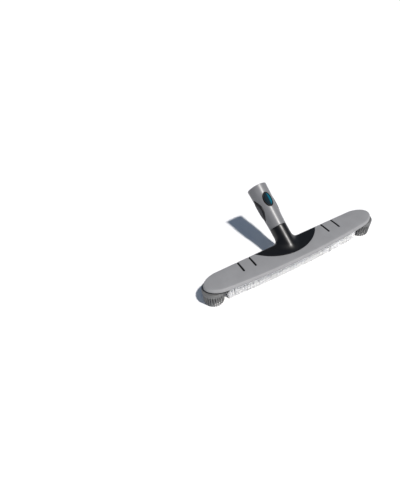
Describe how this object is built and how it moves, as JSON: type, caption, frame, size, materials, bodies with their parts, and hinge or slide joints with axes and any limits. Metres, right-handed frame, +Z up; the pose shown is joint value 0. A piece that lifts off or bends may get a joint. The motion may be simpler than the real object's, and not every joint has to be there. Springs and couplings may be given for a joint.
{
  "type": "pool wall brush",
  "caption": "Bowed pool wall brush head with white bristle rows, grey finger boots at both ends and a leaning pole socket with two squeeze release levers.",
  "frame": {"origin": "centre of the bristles' working face, on the middle bristle row, at the middle of the head", "axes": "+X along the head, +Y to the back, the way the pole socket leans, +Z up from the worked surface to the cover"},
  "size_m": [0.414, 0.1761, 0.1326],
  "materials": {
    "cover_grey": "satin moulded grain",
    "block_black": "matte",
    "black_gloss": "gloss",
    "socket_grey": "semi-gloss",
    "rocker_black": "satin",
    "grip_rubber": "textured",
    "badge_teal": "gloss, bare",
    "boot_rubber": "matte",
    "bristle_ivory": "nylon filament",
    "steel": "plain stainless"
  },
  "bodies": {
    "brush": {"top_cover": "cover_grey", "brush_block": "block_black", "saddle_neck": "black_gloss", "pole_socket": "socket_grey", "badge_bezel": "black_gloss", "badge_insert": "badge_teal", "leaf_spring_left": "steel", "leaf_spring_right": "steel", "socket_screw": "steel", "socket_washer": "steel", "saddle_screw_1": "steel", "saddle_screw_2": "steel", "saddle_screw_3": "steel", "saddle_screw_4": "steel", "cover_screw_1": "steel", "cover_screw_2": "steel", "cover_screw_3": "steel", "cover_screw_4": "steel", "cover_screw_5": "steel", "boot_screw_left": "steel", "boot_screw_right": "steel", "corner_boot_left": "boot_rubber", "corner_boot_right": "boot_rubber", "bristle_row_1": "bristle_ivory", "bristle_row_2": "bristle_ivory", "bristle_row_3": "bristle_ivory", "bristle_row_4": "bristle_ivory", "bristle_row_5": "bristle_ivory"},
    "rocker_left": {"rocker_left": "rocker_black", "grip_left": "grip_rubber"},
    "rocker_right": {"rocker_right": "rocker_black", "grip_right": "grip_rubber"}
  },
  "joints": [
    {"name": "squeeze_left", "type": "hinge", "parent": "brush", "child": "rocker_left", "pos_m": [-0.0134, 0.09244, 0.08721], "axis": [0, -0.5446, 0.8387], "range_deg": [0, 9], "stiffness_Nm_per_rad": 0.3, "springref_deg": -17.19, "deforming": ["leaf_spring_left"]},
    {"name": "squeeze_right", "type": "hinge", "parent": "brush", "child": "rocker_right", "pos_m": [0.0134, 0.09244, 0.08721], "axis": [0, 0.5446, -0.8387], "range_deg": [0, 9], "stiffness_Nm_per_rad": 0.3, "springref_deg": -17.19, "deforming": ["leaf_spring_right"]}
  ]
}
